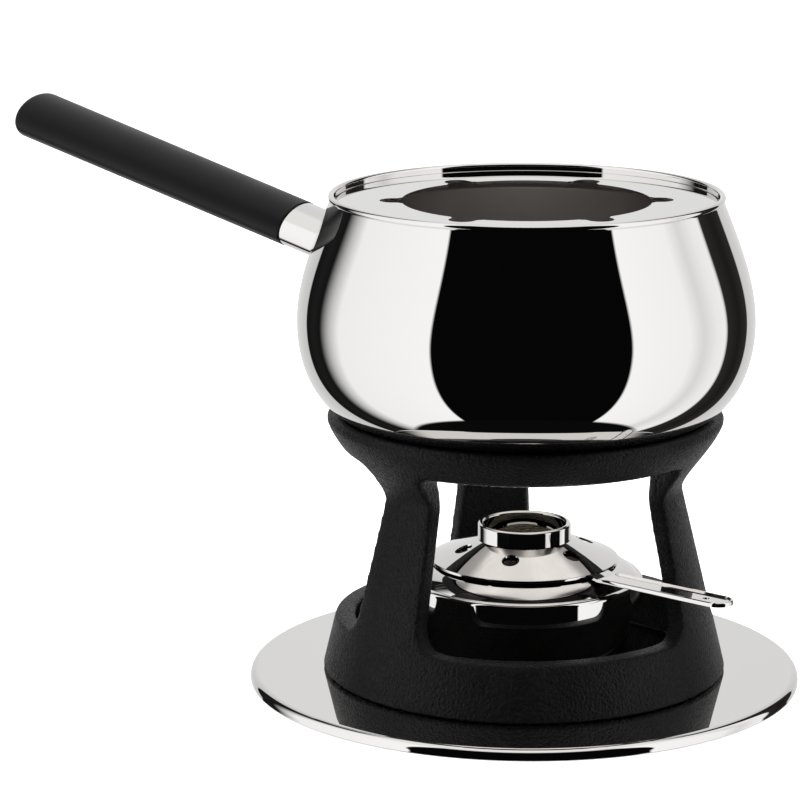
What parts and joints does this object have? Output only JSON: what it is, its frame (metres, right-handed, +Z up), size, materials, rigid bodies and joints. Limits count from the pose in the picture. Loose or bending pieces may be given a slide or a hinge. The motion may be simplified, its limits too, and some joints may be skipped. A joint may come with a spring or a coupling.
{
  "type": "fondue pot set",
  "caption": "Steel fondue pot with an oval handle and a notched fork ring, on a cast-iron stand over a spirit burner with a regulator, on a round steel plate.",
  "frame": {"origin": "middle of the set's footprint, at the height of the table it stands on", "axes": "+Z up, -X along the pot's handle"},
  "size_m": [0.411, 0.26, 0.2602],
  "materials": {
    "polished_steel": "mirror polished stainless steel",
    "cast_iron": "matte black, fine cast grain",
    "aluminium_core": "plain rolled",
    "black_resin": "satin moulded thermoplastic",
    "plain_steel": "plain turned steel",
    "wire_gauze": "woven steel wire",
    "wadding_wool": "loose absorbent mineral wool"
  },
  "bodies": {
    "plate": {"base_plate": "polished_steel"},
    "stand": {"stand_casting": "cast_iron"},
    "burner": {"burner_tank": "polished_steel", "wadding": "wadding_wool", "gauze_disc": "wire_gauze"},
    "cover": {"burner_cover": "polished_steel"},
    "regulator": {"regulator_cone": "polished_steel", "regulator_collar": "polished_steel", "regulator_lever": "polished_steel"},
    "pot": {"pot_bowl": "polished_steel", "pot_base_core": "aluminium_core", "pot_base_cap": "polished_steel", "handle_grip": "black_resin", "handle_ferrule": "polished_steel", "handle_bracket": "plain_steel", "handle_tie_rod": "plain_steel", "handle_washer": "plain_steel", "handle_end_plug": "black_resin"},
    "fork_ring": {"fork_ring": "polished_steel"}
  },
  "joints": [
    {"name": "stand_lift", "type": "slide", "parent": "plate", "child": "stand", "axis": [0, 0, 1], "range_m": [0, 0.014]},
    {"name": "burner_lift", "type": "slide", "parent": "plate", "child": "burner", "axis": [0, 0, 1], "range_m": [0, 0.027]},
    {"name": "cover_lift", "type": "slide", "parent": "burner", "child": "cover", "axis": [0, 0, 1], "range_m": [0, 0.008]},
    {"name": "regulator_turn", "type": "hinge", "parent": "cover", "child": "regulator", "pos_m": [0.07551, 0, 0.06], "axis": [0, 0, 1], "range_deg": [-30, 0]},
    {"name": "pot_lift", "type": "slide", "parent": "stand", "child": "pot", "axis": [0, 0, 1], "range_m": [0, 0.15]},
    {"name": "fork_ring_lift", "type": "slide", "parent": "pot", "child": "fork_ring", "axis": [0, 0, 1], "range_m": [0, 0.06]}
  ]
}
